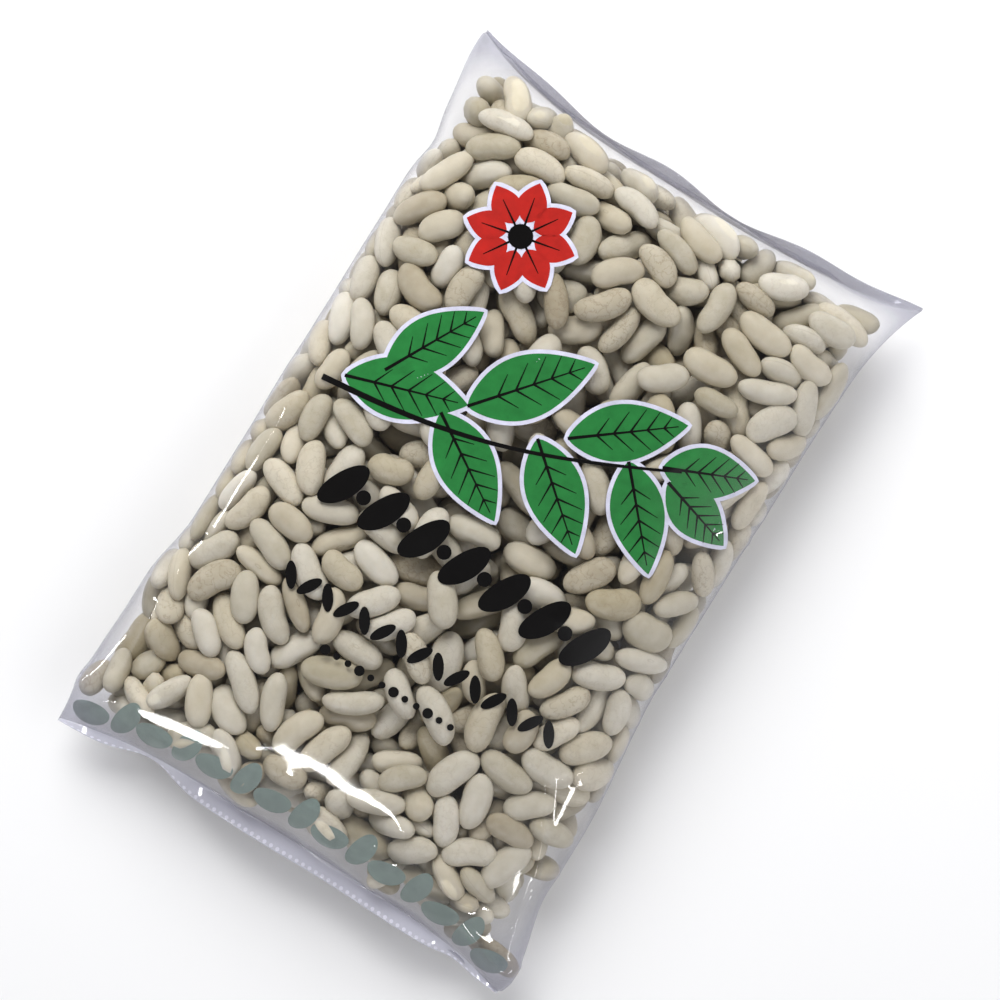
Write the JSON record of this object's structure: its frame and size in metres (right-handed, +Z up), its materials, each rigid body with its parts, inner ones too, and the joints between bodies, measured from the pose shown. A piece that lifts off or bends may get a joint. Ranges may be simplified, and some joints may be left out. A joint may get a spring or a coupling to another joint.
{
  "type": "bag of dried beans",
  "caption": "Sealed pillow bag of clear printed film, filled tight with dried white beans and lying on its back, with a flat seal across each end.",
  "frame": {"origin": "on the table, under the middle of the bag's bounding box", "axes": "+X across the bag, to the right of its printed front; +Y along the bag, towards the top seal; +Z up from the table, out of the printed front"},
  "size_m": [0.166, 0.261, 0.0452],
  "materials": {
    "film_over_beans": "clear glossy film drawn tight over cream beans"
  },
  "bodies": {
    "root": {"bag_of_beans": "film_over_beans"}
  },
  "joints": []
}
